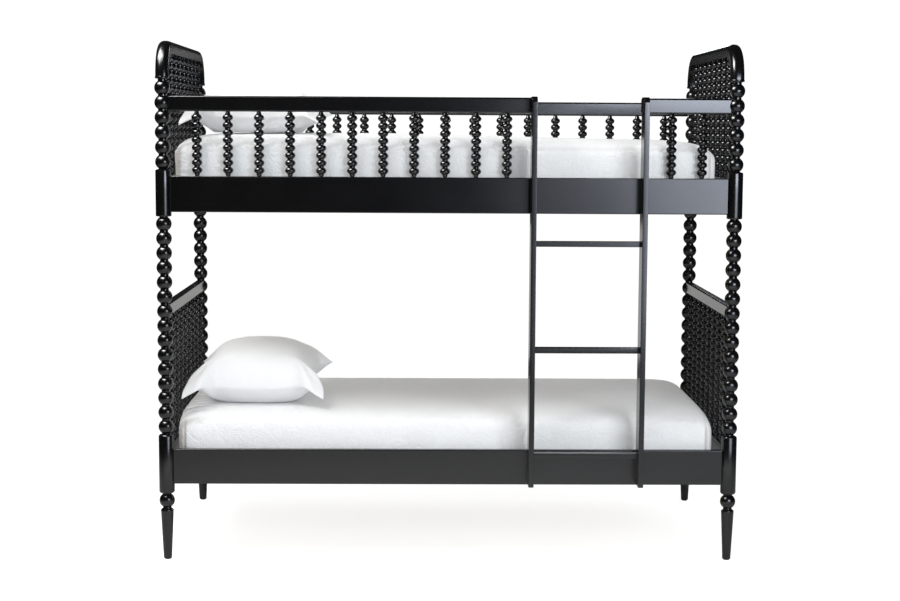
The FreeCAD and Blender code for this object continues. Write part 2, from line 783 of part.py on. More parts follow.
def guard_bolt_hole(name, stile):
    return ladder_bolt_rod(f"guard_hole_{name}", stile, LADDER_BOLTS[2][1], BOLT_HOLE)


def make_ladder():
    half_depth = value("stile_depth") / 2
    bolts = []
    for stile in ("left", "right"):
        body = DOC.addObject("PartDesign::Body", f"{stile}_stile_body")
        outline = rectangle(body, f"{stile}_stile_outline", "YZ_Plane",
                            "Sizes.stile_depth", "Places.stile_height")
        blank = pad(body, f"{stile}_stile_blank", outline, "Sizes.stile_thickness")
        top = value("stile_height")
        round_edges(body, f"{stile}_stile_corner", blank,
                    lambda points: all(same_place(p.y, -half_depth) and same_place(p.z, top) for p in points),
                    "Sizes.stile_corner_radius")
        place(body, f"Places.{stile}_stile_x",
              "Places.front_rail_y - Sizes.stile_depth / 2", "Places.stile_z")
        tools = []
        for number in range(RUNG_COUNT):
            inner = "Sizes.stile_thickness - Sizes.rung_housing"
            side_x = inner if stile == "left" else "0"
            at = (f"Places.{stile}_stile_x + {side_x}",
                  "Places.front_rail_y - Sizes.rung_depth",
                  f"Places.top_rung_z - {number} * Places.rung_pitch")
            tools.append(board(f"{stile}_rung_housing_{number + 1}", at,
                               ("Sizes.rung_housing", "Sizes.rung_depth",
                                "Sizes.rung_thickness")))
        for bolt, height in LADDER_BOLTS:
            tools.append(ladder_bolt_rod(f"{stile}_stile_hole_{bolt}", stile, height, BOLT_HOLE))
            shank = ladder_bolt_rod(f"{stile}_shank_{bolt}", stile, height, "Sizes.bolt_radius")
            head = rod(f"{stile}_head_{bolt}", "y",
                       (f"Places.{stile}_stile_x + Sizes.stile_thickness / 2",
                        "Places.front_rail_y + Sizes.rail_thickness", height),
                       "Sizes.bolt_head_radius", "Sizes.ladder_bolt_height")
            bolts.append(fuse(f"{stile}_bolt_{bolt}", [shank, head]))
        finish(f"ladder_stile_{stile}", cut(f"{stile}_stile_cut", body, tools))
    finish("ladder_bolts", group("ladder_bolt_set", bolts))

    for number in range(RUNG_COUNT):
        body = DOC.addObject("PartDesign::Body", f"rung_body_{number + 1}")
        outline = rectangle(body, f"rung_outline_{number + 1}", "YZ_Plane",
                            "Sizes.rung_depth", "Sizes.rung_thickness")
        blank = pad(body, f"rung_blank_{number + 1}", outline,
                    "Sizes.ladder_clear + 2 * Sizes.rung_housing")
        front = -value("rung_depth") / 2
        round_edges(body, f"rung_edges_{number + 1}", blank,
                    lambda points: all(same_place(p.y, front) for p in points)
                    and same_place(points[0].z, points[1].z),
                    "Sizes.rung_edge_radius")
        place(body, "Places.left_stile_x + Sizes.stile_thickness - Sizes.rung_housing",
              "Places.front_rail_y - Sizes.rung_depth / 2",
              f"Places.top_rung_z - {number} * Places.rung_pitch")
        finish(f"ladder_rung_{number + 1}", body)


def rounded_section(half_x, half_y, corner, height):
    """Points round a level rectangle whose corners are cut in two facets each."""
    lean = corner * (1 - math.sqrt(0.5))
    points = []
    for sx, sy in ((1, 1), (-1, 1), (-1, -1), (1, -1)):
        turn = [
            Vector(sx * half_x, sy * (half_y - corner), height),
            Vector(sx * (half_x - lean), sy * (half_y - lean), height),
            Vector(sx * (half_x - corner), sy * half_y, height),
        ]
        points += turn if sx * sy > 0 else turn[::-1]
    return points


# A mattress's sections from its base up: shares of its edge radius set in from the
# sides, and shares of the edge radius above the base or below the crown.
MATTRESS_BASE_SHARES = ((0.7, 0.0), (0.2, 0.3), (0.0, 0.9))
MATTRESS_TOP_SHARES = ((0.0, 1.1), (0.25, 0.4), (0.9, 0.0))
MATTRESS_CROWN_SHARE = 6.0
MATTRESS_CORNER_SHARE = 2.0


def make_mattress(level):
    half_x = value("mattress_length") / 2
    half_y = value("mattress_width") / 2
    height = value("mattress_height")
    edge = value("mattress_edge")
    shoulder = height - value("mattress_crown")
    levels = [(inset * edge, rise * edge) for inset, rise in MATTRESS_BASE_SHARES]
    levels += [(inset * edge, shoulder - drop * edge) for inset, drop in MATTRESS_TOP_SHARES]
    levels.append((MATTRESS_CROWN_SHARE * edge, height))
    solid = faceted([
        rounded_section(half_x - inset, half_y - inset, MATTRESS_CORNER_SHARE * edge, rise)
        for inset, rise in levels
    ])
    finish(f"{level}_mattress",
           feature(f"{level}_mattress_body", solid, -value(f"{level}_mattress_shift"),
                   value("middle_y"), value(f"{level}_slat_top")))


PILLOW_STEPS = 5


def pillow_section(half_x, half_y, draw_x, draw_y, height):
    """Points round a level pillow outline, each side drawn in, or out where negative."""
    corners = [(1, 1), (-1, 1), (-1, -1), (1, -1)]
    points = []
    for number in range(4):
        ax, ay = corners[number]
        bx, by = corners[(number + 1) % 4]
        for step in range(PILLOW_STEPS):
            along = step / PILLOW_STEPS
            bow = 4 * along * (1 - along)
            x = half_x * (ax + (bx - ax) * along) - (ax + bx) / 2 * draw_x * bow
            y = half_y * (ay + (by - ay) * along) - (ay + by) / 2 * draw_y * bow
            points.append(Vector(x, y, height))
    return points


# A pillow's sections: share of its height, share of each half size that its corners
# stand in, and share of each half size by which its sides are drawn in.
PILLOW_SHARES = (
    (0.0, 0.42, -0.06),
    (0.14, 0.20, -0.04),
    (0.36, 0.0, 0.10),
    (0.62, 0.17, -0.03),
    (0.86, 0.34, -0.06),
    (1.0, 0.58, -0.08),
)


def make_pillow(level):
    half_x = value("pillow_length") / 2
    half_y = value("pillow_width") / 2
    height = value(f"{level}_pillow_height")
    solid = faceted([
        pillow_section(half_x * (1 - inset), half_y * (1 - inset),
                       half_x * draw, half_y * draw, rise * height)
        for rise, inset, draw in PILLOW_SHARES
    ])
    x = value("pillow_gap") + half_x - value("half_length")
    y = value("front_y") + value("pillow_front_gap") + half_y
    z = value(f"{level}_slat_top") + value("mattress_height") + value("bedding_gap")
    finish(f"{level}_pillow", feature(f"{level}_pillow_body", solid, x, y, z))


make_posts()
make_glides_and_pins()
for level_name in ("lower", "upper"):
    make_side_rails(level_name, f"Places.{level_name}_rail_z")
    make_slats(level_name, f"Places.{level_name}_slat_top")
    make_mattress(level_name)
    make_pillow(level_name)
make_guards()
make_end_panels()
make_ladder()
DOC.recompute()

for thing in DOC.Objects:
    if "Invalid" in thing.State or "Error" in thing.State:
        raise RuntimeError(f"{thing.Name} failed")
for node, thing in NODES.items():
    if thing.Shape.isNull() or not thing.Shape.isValid():
        raise RuntimeError(f"{node} has no valid shape")

os.makedirs("parts", exist_ok=True)
for node, thing in NODES.items():
    thing.Shape.exportStep(f"parts/{node}.step")
print(len(NODES), "nodes written")
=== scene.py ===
import math

import bpy
from mathutils import Matrix, Vector


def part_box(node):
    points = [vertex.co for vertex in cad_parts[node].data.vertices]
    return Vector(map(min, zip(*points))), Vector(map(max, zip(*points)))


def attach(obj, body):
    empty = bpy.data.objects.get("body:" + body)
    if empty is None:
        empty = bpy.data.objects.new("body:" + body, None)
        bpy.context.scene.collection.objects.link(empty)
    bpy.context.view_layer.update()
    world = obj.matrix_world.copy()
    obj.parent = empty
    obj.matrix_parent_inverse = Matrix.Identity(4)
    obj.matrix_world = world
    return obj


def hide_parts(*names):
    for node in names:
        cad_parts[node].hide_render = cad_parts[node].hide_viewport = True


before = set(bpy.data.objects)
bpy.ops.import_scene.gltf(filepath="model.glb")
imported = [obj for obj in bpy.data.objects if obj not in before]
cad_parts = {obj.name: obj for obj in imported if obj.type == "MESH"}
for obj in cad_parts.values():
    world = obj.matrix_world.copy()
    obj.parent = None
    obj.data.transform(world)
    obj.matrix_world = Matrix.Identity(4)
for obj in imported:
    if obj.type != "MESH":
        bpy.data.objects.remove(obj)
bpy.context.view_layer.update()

# ---------------------------------------------------------------- camera
# The bed is seen from the middle of its ladder side, a little above the
# upper rail, with the long lens of a catalogue photograph.

camera_data = bpy.data.cameras.new("camera")
camera_data.sensor_fit = "HORIZONTAL"
camera_data.sensor_width = 36.0
camera_data.lens = 70.016
camera_data.shift_y = 0.0289
camera = bpy.data.objects.new("camera", camera_data)
bpy.context.scene.collection.objects.link(camera)
camera_place = Vector((-0.09768, -6.5696, 1.52098))
looks_along = Vector((0.016395, 0.993566, -0.112064))
level_right = Vector((0.999864, -0.016499, 0.0))
level_up = Vector((0.001849, 0.112049, 0.993701))
camera_roll = 0.0058
camera_right = level_right * math.cos(camera_roll) + level_up * math.sin(camera_roll)
camera_up = level_up * math.cos(camera_roll) - level_right * math.sin(camera_roll)
turned = Matrix((camera_right, camera_up, -looks_along)).transposed()
camera.matrix_world = Matrix.Translation(camera_place) @ turned.to_4x4()
bpy.context.scene.camera = camera
bpy.context.scene.view_settings.view_transform = "Standard"


# ---------------------------------------------------------------- floor and room
# A matt white floor that takes the bed's soft shadow and fades into the room
# round it. The room is white to the camera, bright to the cloth and nearly
# black in the lacquer.


class Wire:
    """A value on its way through a material, so that sums are shader sums."""

    def __init__(self, socket):
        self.socket = socket

    def node(self, kind, inputs=None, output=0, **settings):
        tree = self.socket.id_data
        made = tree.nodes.new(kind)
        for name, value in settings.items():
            setattr(made, name, value)
        for name, value in (inputs or {}).items():
            if isinstance(value, Wire):
                tree.links.new(value.socket, made.inputs[name])
            else:
                made.inputs[name].default_value = value
        return Wire(made.outputs[output])

    def maths(self, operation, first, second=0.0):
        return self.node("ShaderNodeMath", {0: first, 1: second}, operation=operation)

    def __add__(self, other):
        return self.maths("ADD", self, other)

    def __radd__(self, other):
        return self.maths("ADD", other, self)

    def __sub__(self, other):
        return self.maths("SUBTRACT", self, other)

    def __rsub__(self, other):
        return self.maths("SUBTRACT", other, self)

    def __mul__(self, other):
        return self.maths("MULTIPLY", self, other)

    def __rmul__(self, other):
        return self.maths("MULTIPLY", other, self)

    def __truediv__(self, other):
        return self.maths("DIVIDE", self, other)

    def __rtruediv__(self, other):
        return self.maths("DIVIDE", other, self)

    def to(self, name, shader):
        self.socket.id_data.links.new(self.socket, shader.inputs[name])


def new_material(name):
    """A material, its shader, and the place on the piece in metres."""
    material = bpy.data.materials.new(name)
    material.use_nodes = True
    nodes = material.node_tree.nodes
    place = Wire(nodes.new("ShaderNodeTexCoord").outputs["Object"])
    return material, nodes["Principled BSDF"], place


def grey(level):
    """A colour with one level in all three channels."""
    return level.node("ShaderNodeCombineColor", {0: level, 1: level, 2: level})


def alone(*objects):
    """Selects these objects and no others."""
    bpy.ops.object.select_all(action="DESELECT")
    for one in objects:
        one.select_set(True)
    if objects:
        bpy.context.view_layer.objects.active = objects[0]


def settle():
    """Works the place, turn and scale of the piece in hand into its mesh."""
    bpy.ops.object.transform_apply(location=True, rotation=True, scale=True)


alone()
bpy.ops.mesh.primitive_plane_add(size=1.0, location=(0.0, 1.0, 0.0))
floor = bpy.context.object
floor.name = "floor"
floor.scale = (22.0, 18.0, 1.0)
settle()
floor_paint, paint, spot = new_material("floor_paint")
paint.inputs["Roughness"].default_value = 0.9
paint.inputs["Specular IOR Level"].default_value = 0.0
paint.inputs["Emission Strength"].default_value = 1.0
SHADOW_MIDDLE = (0.0, -0.8, 0.0)
SHADOW_REACH = 2.2
FLOOR_WHITE = 0.7
LAMP_SHARE = 0.46
from_middle = spot.node(
    "ShaderNodeVectorMath", {0: spot, 1: SHADOW_MIDDLE}, output=1, operation="DISTANCE"
)
away = from_middle / SHADOW_REACH
pale = FLOOR_WHITE / (away * away * away + 1.0)
grey(pale).to("Base Color", paint)
sight = floor_paint.node_tree.nodes.new("ShaderNodeLightPath").outputs
seen = Wire(sight["Is Camera Ray"]) + Wire(sight["Is Transmission Ray"])
grey(seen * (1.0 - pale * LAMP_SHARE)).to("Emission Color", paint)
floor.data.materials.append(floor_paint)

world = bpy.data.worlds.new("studio")
world.use_nodes = True
bpy.context.scene.world = world
sky = world.node_tree.nodes["Background"]
sky.inputs["Strength"].default_value = 1.0
world.cycles.sampling_method = "NONE"
ROOM_GLOW = 0.66
MIRRORED_ROOM = 0.02
SEEN_ROOM = 1.05
rays = world.node_tree.nodes.new("ShaderNodeLightPath").outputs
to_camera = Wire(rays["Is Camera Ray"])
to_gloss = Wire(rays["Is Glossy Ray"])
room = (
    ROOM_GLOW
    - to_gloss * (ROOM_GLOW - MIRRORED_ROOM)
    + to_camera * (SEEN_ROOM - ROOM_GLOW)
)
room.node("ShaderNodeCombineColor", {0: room, 1: room, 2: room * 0.995}).to("Color", sky)


# ---------------------------------------------------------------- lamps and cards
# Three soft boxes light the bed, over the pillow end, to the right of the
# camera and more weakly at the front. The cards give no light: they are only
# mirrored, as the highlights and the grey sheen of the lacquer.


def soft_box(name, place, aim, size, power, colour, mirrored):
    """A lamp that lights the bed, or a lit card that is only mirrored in it."""
    lamp = bpy.data.lights.new(name, "AREA")
    lamp.shape = "RECTANGLE"
    lamp.size, lamp.size_y = size
    lamp.energy = power
    lamp.color = colour
    holder = bpy.data.objects.new(name, lamp)
    bpy.context.scene.collection.objects.link(holder)
    holder.visible_camera = False
    holder.visible_glossy = mirrored
    holder.visible_diffuse = not mirrored
    holder.location = place
    facing = Vector(aim) - Vector(place)
    holder.rotation_euler = facing.to_track_quat("-Z", "Y").to_euler()


WARM_WHITE = (1.0, 0.995, 0.985)
COOL_WHITE = (0.88, 0.94, 1.0)
BLUE_WHITE = (0.80, 0.86, 1.0)
PILLOW_END = (-0.2, 0.0, 1.0)
CARD_POWER = 4  # for a brightness of one over a square metre
for name, place, aim, size, power, colour in (
    ("lamp_above", (-2.1, -1.0, 3.6), PILLOW_END, (2.2, 1.8), 94.0, WARM_WHITE),
    ("lamp_right", (2.3, -4.1, 1.65), (0.7, 0.0, 1.3), (2.1, 1.7), 92.0, COOL_WHITE),
    ("lamp_front", (-0.6, -5.5, 1.8), (0.0, 0.0, 1.4), (3.0, 1.6), 30.0, COOL_WHITE),
):
    soft_box(name, place, aim, size, power, colour, False)
for name, place, aim, size, brightness, colour in (
    ("card_above", (-1.9, -1.05, 3.8), PILLOW_END, (1.3, 1.0), 19.0, WARM_WHITE),
    ("card_above_wide", (-1.95, -1.1, 3.9), PILLOW_END, (2.6, 2.0), 7.0, WARM_WHITE),
    ("card_middle", (0.80, -4.3, 1.30), (0.80, 0.0, 1.30), (0.70, 2.2), 0.95, BLUE_WHITE),
    ("card_right_low", (2.22, -4.3, 0.95), (2.22, 0.0, 0.95), (2.30, 1.1), 4.0, BLUE_WHITE),
    ("card_right_high", (2.15, -4.3, 1.97), (2.15, 0.0, 1.97), (2.30, 0.80), 11.0, BLUE_WHITE),
    ("card_right_core", (2.50, -4.3, 1.50), (2.50, 0.0, 1.50), (1.70, 1.6), 2.4, BLUE_WHITE),
    ("card_floor", (0.6, -3.0, 0.02), (0.6, -3.0, 1.0), (5.0, 3.4), 0.21, WARM_WHITE),
    ("card_wall", (0.0, 5.0, 0.45), (0.0, 0.0, 0.45), (6.0, 0.90), 0.45, WARM_WHITE),
    ("card_bow", (-0.2, 5.0, 2.01), (-0.2, 0.0, 2.01), (0.2, 0.1), 0.6, WARM_WHITE),
    ("card_edge", (1.4, 4.2, 2.55), (-0.4, 0.0, 1.5), (0.5, 1.2), 3.5, COOL_WHITE),
):
    power = brightness * CARD_POWER * size[0] * size[1]
    soft_box(name, place, aim, size, power, colour, True)


# ---------------------------------------------------------------- lower posts
# Four posts turned from hardwood and sprayed with black satin lacquer. Each
# has a tapered foot, a ball, a plain barrel that takes the side rail and the
# end rail, and fifteen round beads.

POST_AXIS_X = 0.994
POST_AXIS_Y = {"front": -0.4686, "rear": 0.5344}
BEAD_RADIUS = 0.0272
BEAD_HALF_HEIGHT = 0.0268
BEAD_NECK = 0.0148
BEAD_PITCH = 0.051
POST_SIDES = 32
PARTING = (1.2139, 0.0150)  # the height and radius at which the posts meet
SATIN = 0.175
COAT = 0.2


def mix_colours(share, first, second):
    """From the first colour to the second by a share, each a value or a link."""
    sockets = {"Factor": share, 6: first, 7: second}
    return share.node("ShaderNodeMix", sockets, output=2, data_type="RGBA")


def noise(place, scale, detail, distortion=0.0):
    """A soft random pattern, finer as its scale grows."""
    sockets = {"Vector": place, "Scale": scale, "Detail": detail, "Distortion": distortion}
    return place.node("ShaderNodeTexNoise", sockets)


def drawn_out(place, scale):
    """The place for a pattern that is stretched, as grain is along a board."""
    return place.node("ShaderNodeMapping", {"Vector": place, "Scale": scale})


def relief(shader, height, strength, distance):
    """Lets the light fall on a surface as if it rose and fell by a height."""
    sockets = {"Height": height, "Strength": strength, "Distance": distance}
    height.node("ShaderNodeBump", sockets).to("Normal", shader)


def lacquer(name, along):
    """Black satin lacquer over a close grain that runs along one axis."""
    material, shader, place = new_material(name)
    shader.inputs["IOR"].default_value = 1.5
    shader.inputs["Coat Roughness"].default_value = 0.13
    shader.inputs["Coat IOR"].default_value = 1.5
    scale = {"X": (6.0, 260.0, 260.0), "Y": (260.0, 6.0, 260.0), "Z": (260.0, 260.0, 6.0)}
    grain = noise(drawn_out(place, scale[along]), scale=1.0, detail=4.0)
    cloudy = noise(place, scale=9.0, detail=3.0)
    darkest, lightest = (0.0016, 0.0016, 0.0017, 1), (0.0036, 0.0036, 0.004, 1)
    mix_colours(cloudy * 0.7 + grain * 0.3, darkest, lightest).to("Base Color", shader)
    (SATIN + cloudy * 0.04 + grain * 0.03).to("Roughness", shader)
    (COAT + cloudy * 0.1).to("Coat Weight", shader)
    relief(shader, grain * 0.6 + cloudy * 0.4, strength=0.04, distance=0.0003)
    return material


lacquer_upright = lacquer("black_lacquer_grain_up", "Z")


def turn_on_lathe(name, sides, rings):
    """Turns a piece about the Z axis from its rings, each a height and a radius."""
    (height, radius), *others = rings
    alone()
    bpy.ops.mesh.primitive_circle_add(
        vertices=sides,
        radius=radius,
        fill_type="NGON",
        location=(0, 0, height),
        enter_editmode=True,
    )
    for next_height, next_radius in others:
        bpy.ops.mesh.extrude_region_move(
            TRANSFORM_OT_translate={"value": (0, 0, next_height - height)}
        )
        share = next_radius / radius
        bpy.ops.transform.resize(value=(share, share, 1), center_override=(0, 0, next_height))
        height, radius = next_height, next_radius
    bpy.ops.mesh.select_all(action="SELECT")
    bpy.ops.mesh.normals_make_consistent(inside=False)
    bpy.ops.object.mode_set(mode="OBJECT")
    piece = bpy.context.object
    piece.name = name
    settle()
    bpy.ops.object.shade_smooth_by_angle(angle=math.radians(38))
    return piece


def bead(middle, radius, half_height, neck, steps):
    """The rings of one bead, an oval cut off where it meets its necks."""
    reach = math.acos(neck / radius)
    turns = [reach * (2 * k / steps - 1) for k in range(steps + 1)]
    return [(middle + half_height * math.sin(t), radius * math.cos(t)) for t in turns]


def post_beads(first, count):
    """The rings of a post's run of round beads."""
    rings = []
    for k in range(count):
        middle = first + BEAD_PITCH * k
        rings += bead(middle, BEAD_RADIUS, BEAD_HALF_HEIGHT, BEAD_NECK, steps=10)
    return rings


def copy_at(piece, name, place):
    """One more of a piece, with its own mesh, moved in that mesh."""
    copy = piece.copy()
    copy.data = piece.data.copy()
    copy.name = name
    bpy.context.scene.collection.objects.link(copy)
    copy.location = place
    alone(copy)
    settle()
    return copy


def finish(piece, material, body, slot, *nodes):
    """Gives a piece its material, its body and the CAD pieces it stands for."""
    piece.data.materials.clear()
    piece.data.materials.append(material)
    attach(piece, body)
    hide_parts(*nodes)


def stand_posts(pattern, level):
    """Sets a turned post at each corner, then puts the pattern away."""
    for end, x in (("head", -POST_AXIS_X), ("foot", POST_AXIS_X)):
        for side, y in POST_AXIS_Y.items():
            post = copy_at(pattern, f"{level}_post_turned_{end}_{side}", (x, y, 0))
            finish(post, lacquer_upright, f"{level}_bed", "lacquer", f"{level}_post_{end}_{side}")
    bpy.data.objects.remove(pattern)


foot = [
    (0.003, 0.0128), (0.0044, 0.0146), (0.09, 0.0186), (0.172, 0.0223),
    (0.176, 0.0226), (0.1788, 0.0218), (0.181, 0.0185), (0.1835, 0.0155),
]
ball = bead(0.2112, BEAD_RADIUS, BEAD_HALF_HEIGHT, BEAD_NECK, steps=12)
lower_barrel = [
    (0.2362, 0.0158), (0.2372, 0.0195), (0.239, 0.0235), (0.2415, 0.0259),
    (0.2445, 0.0272), (0.342, 0.0272), (0.4408, 0.0272), (0.4438, 0.0259),
    (0.4463, 0.0235), (0.4481, 0.0195), (0.4489, 0.0158),
]
lower_rings = foot + ball + lower_barrel + post_beads(first=0.4744, count=15) + [PARTING]
stand_posts(turn_on_lathe("lower_post", POST_SIDES, lower_rings), "lower")


# ---------------------------------------------------------------- upper posts
# The same beads above a barrel whose ends are cut nearly square. A thin
# collar under the bent end rail closes each post.

upper_barrel = [
    PARTING, (1.2141, 0.0225), (1.2150, 0.0258), (1.2168, 0.0270),
    (1.2195, 0.0272), (1.295, 0.0272), (1.3715, 0.0272), (1.3742, 0.0266),
    (1.3760, 0.0240), (1.3769, 0.0190),
]
collar = [
    (1.6836, 0.0146), (1.6872, 0.0150), (1.6885, 0.0215), (1.6895, 0.0240),
    (1.6908, 0.0247), (1.6945, 0.0247), (1.6960, 0.0240),
]
upper_rings = upper_barrel + post_beads(first=1.4025, count=6) + collar
stand_posts(turn_on_lathe("upper_post", POST_SIDES, upper_rings), "upper")


# ---------------------------------------------------------------- glides and pins
# A nylon glide is nailed under each foot. A beech dowel sits in the top of
# each lower post, and the upper post drops over it.


def plain_finish(name, dark, pale, roughness, scale, metal=0.0):
    """A finish with a fine fleck, for the small parts."""
    material, shader, place = new_material(name)
    shader.inputs["Metallic"].default_value = metal
    fleck = noise(place, scale, detail=5.0)
    mix_colours(fleck, (*dark, 1), (*pale, 1)).to("Base Color", shader)
    (fleck * 0.2 + (roughness - 0.1)).to("Roughness", shader)
    relief(shader, fleck, strength=0.2, distance=0.0005)
    return material


def refinish(node, material):
    """A CAD piece keeps its shape and gets its real finish."""
    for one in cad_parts[node].material_slots:
        one.material = material


nylon = plain_finish(
    "black_nylon", (0.022, 0.022, 0.022), (0.038, 0.038, 0.036), roughness=0.55, scale=300.0
)
refinish("floor_glides", nylon)


def bare_wood(name, pale, dark, along):
    """Planed, unfinished wood with its rings drawn out along one axis."""
    material, shader, place = new_material(name)
    scale = {"X": (2.0, 38.0, 60.0), "Y": (38.0, 2.0, 60.0), "Z": (60.0, 60.0, 2.0)}
    stretched = drawn_out(place, scale[along])
    rings = noise(stretched, scale=1.0, detail=6.0, distortion=0.6)
    pores = noise(stretched, scale=9.0, detail=2.0)
    mix_colours(rings * 0.8 + pores * 0.2, (*pale, 1), (*dark, 1)).to("Base Color", shader)
    (pores * 0.15 + 0.5).to("Roughness", shader)
    relief(shader, pores, strength=0.3, distance=0.0006)
    return material


beech = bare_wood("bare_beech", (0.66, 0.50, 0.33), (0.48, 0.32, 0.19), "Z")
refinish("stacking_pins", beech)


# ---------------------------------------------------------------- end panels
# Each end has a bottom rail and eight spindles, and the lower ends a top
# rail too. The spindles are spool turned all the way up, and stand in holes
# in the rails.

ROUNDED_UP_TO = math.radians(35)
END_RAIL_EDGE = 0.005
SPOOL_RADIUS = 0.0185
END_SPINDLE_SIDES = 14
END_SPINDLE_FIRST = -0.3507
END_SPINDLE_STEP = (0, 0.1096)
lacquer_crosswise = lacquer("black_lacquer_grain_across", "Y")


def plain_block(name, middle, size):
    """A square-edged block, left as the piece in hand."""
    alone()
    bpy.ops.mesh.primitive_cube_add(size=1.0, location=middle)
    block = bpy.context.object
    block.name = name
    block.scale = size
    settle()
    return block


def plane_faces(board):
    """Smooth over the rounded edges only, so that the wide faces mirror flat."""
    bpy.ops.object.shade_smooth_by_angle(angle=ROUNDED_UP_TO)
    planed = board.modifiers.new("planed", "WEIGHTED_NORMAL")
    planed.keep_sharp = True
    bpy.ops.object.modifier_apply(modifier=planed.name)


def round_over(width, steps):
    """Rounds all the edges of the block in hand."""
    bpy.ops.object.mode_set(mode="EDIT")
    bpy.ops.mesh.select_all(action="SELECT")
    bpy.ops.mesh.bevel(offset=width, segments=steps, affect="EDGES")
    bpy.ops.object.mode_set(mode="OBJECT")


def milled_board(node, rounding, steps=3):
    """A board planed to its CAD piece's size, with its edges rounded over."""
    low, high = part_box(node)
    board = plain_block(f"{node}_milled", (low + high) / 2, high - low)
    round_over(rounding, steps)
    plane_faces(board)
    return board


for end in ("head", "foot"):
    for node, body in (
        (f"{end}_lower_top_rail", "lower_bed"),
        (f"{end}_lower_bottom_rail", "lower_bed"),
        (f"{end}_upper_bottom_rail", "upper_bed"),
    ):
        board = milled_board(node, END_RAIL_EDGE)
        finish(board, lacquer_crosswise, body, "lacquer", node)


def spool(bottom, top, count, neck, tip, taper, steps):
    """The rings of a spindle: a taper, a string of beads and a taper."""
    pitch = (top - bottom - 2 * taper) / count
    rings = [(bottom, tip), (bottom + taper * 0.5, (tip + neck) / 2)]
    for k in range(count):
        middle = bottom + taper + pitch * (k + 0.5)
        rings += bead(middle, SPOOL_RADIUS, pitch * 0.5, neck, steps)
    return rings + [(top - taper * 0.5, (tip + neck) / 2), (top, tip)]


def row_of(spindle, name, first, step, count):
    """Sets a spindle out in a row, each one a copy."""
    made = [
        copy_at(spindle, f"{name}_{k}", (first[0] + step[0] * k, first[1] + step[1] * k, 0))
        for k in range(count)
    ]
    alone(*made)
    bpy.ops.object.join()
    row = bpy.context.object
    row.name = name
    return row


low_rings = spool(0.3959, 0.8634, count=17, neck=0.0105, tip=0.007, taper=0.013, steps=6)
high_rings = spool(1.3544, 1.777, count=16, neck=0.0105, tip=0.010, taper=0.003, steps=6)
low_end_spindle = turn_on_lathe("low_end_spindle", END_SPINDLE_SIDES, low_rings)
high_end_spindle = turn_on_lathe("high_end_spindle", END_SPINDLE_SIDES, high_rings)
for end, x in (("head", -POST_AXIS_X), ("foot", POST_AXIS_X)):
    for spindle, level in ((low_end_spindle, "lower"), (high_end_spindle, "upper")):
        name = f"{end}_{level}_spools"
        row = row_of(spindle, name, (x, END_SPINDLE_FIRST), END_SPINDLE_STEP, count=8)
        finish(row, lacquer_upright, f"{level}_bed", "lacquer", f"{end}_{level}_spindles")
bpy.data.objects.remove(low_end_spindle)
bpy.data.objects.remove(high_end_spindle)


# ---------------------------------------------------------------- bent end rails
# The top rail of each upper end is steam bent into a wide hoop that stands
# on the two posts. Its outside is rounded to a nose, and its inside is flat.

BOW_OUTER_BEND = 0.122
BOW_INNER_BEND = 0.077
BOW_NOSE = 0.019
BEND_STEPS = 14
HAIR = 0.001  # how near a point has to be to count as on an edge


def pick(piece, kind, wanted):
    """Selects the corners or the edges that lie where a test says so."""
    bpy.ops.object.mode_set(mode="EDIT")
    bpy.ops.mesh.select_mode(type=kind)
    bpy.ops.mesh.select_all(action="DESELECT")
    bpy.ops.object.mode_set(mode="OBJECT")
    corners = piece.data.vertices
    if kind == "VERT":
        for corner in corners:
            corner.select = wanted(corner.co)
    else:
        for edge in piece.data.edges:
            edge.select = all(wanted(corners[k].co) for k in edge.vertices)
    bpy.ops.object.mode_set(mode="EDIT")


def lengthen(across, up):
    """Draws the open end of the rail on in a straight line."""
    bpy.ops.mesh.extrude_region_move(TRANSFORM_OT_translate={"value": (0, across, up)})


def bend_round(y, z):
    """Draws the open end of the rail on through a quarter turn."""
    bpy.ops.mesh.spin(steps=BEND_STEPS, angle=math.pi / 2, center=(0, y, z), axis=(1, 0, 0))


for end in ("head", "foot"):
    low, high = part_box(f"{end}_bow_rail")
    depth = BOW_OUTER_BEND - BOW_INNER_BEND
    bend_z = high.z - BOW_OUTER_BEND
    alone()
    bpy.ops.mesh.primitive_plane_add(
        size=1.0, location=((low.x + high.x) / 2, low.y + depth / 2, low.z)
    )
    bow = bpy.context.object
    bow.name = f"{end}_bow_rail_bent"
    bow.scale = (high.x - low.x, depth, 1)
    settle()
    pick(bow, "VERT", lambda place: place.y < low.y + HAIR)
    bpy.ops.mesh.bevel(offset=BOW_NOSE, segments=6, affect="VERTICES")
    bpy.ops.mesh.select_all(action="SELECT")
    lengthen(0, bend_z - low.z)
    bend_round(low.y + BOW_OUTER_BEND, bend_z)
    lengthen((high.y - low.y) - 2 * BOW_OUTER_BEND, 0)
    bend_round(high.y - BOW_OUTER_BEND, bend_z)
    lengthen(0, low.z - bend_z)
    bpy.ops.mesh.select_all(action="SELECT")
    bpy.ops.mesh.remove_doubles(threshold=0.00002)
    bpy.ops.mesh.normals_make_consistent(inside=False)
    bpy.ops.object.mode_set(mode="OBJECT")
    plane_faces(bow)
    finish(bow, lacquer_crosswise, "upper_bed", "lacquer", f"{end}_bow_rail")


# ---------------------------------------------------------------- side rails
# Long boards between the posts, housed in the barrels and held by a bolt at
# each end. Their edges are rounded over by a few millimetres.

SIDE_RAIL_EDGE = 0.0035
lacquer_lengthwise = lacquer("black_lacquer_grain_along", "X")
for level in ("lower", "upper"):
    for side in ("front", "rear"):
        node = f"{level}_side_rail_{side}"
        board = milled_board(node, SIDE_RAIL_EDGE, steps=4)
        finish(board, lacquer_lengthwise, f"{level}_bed", "lacquer", node)


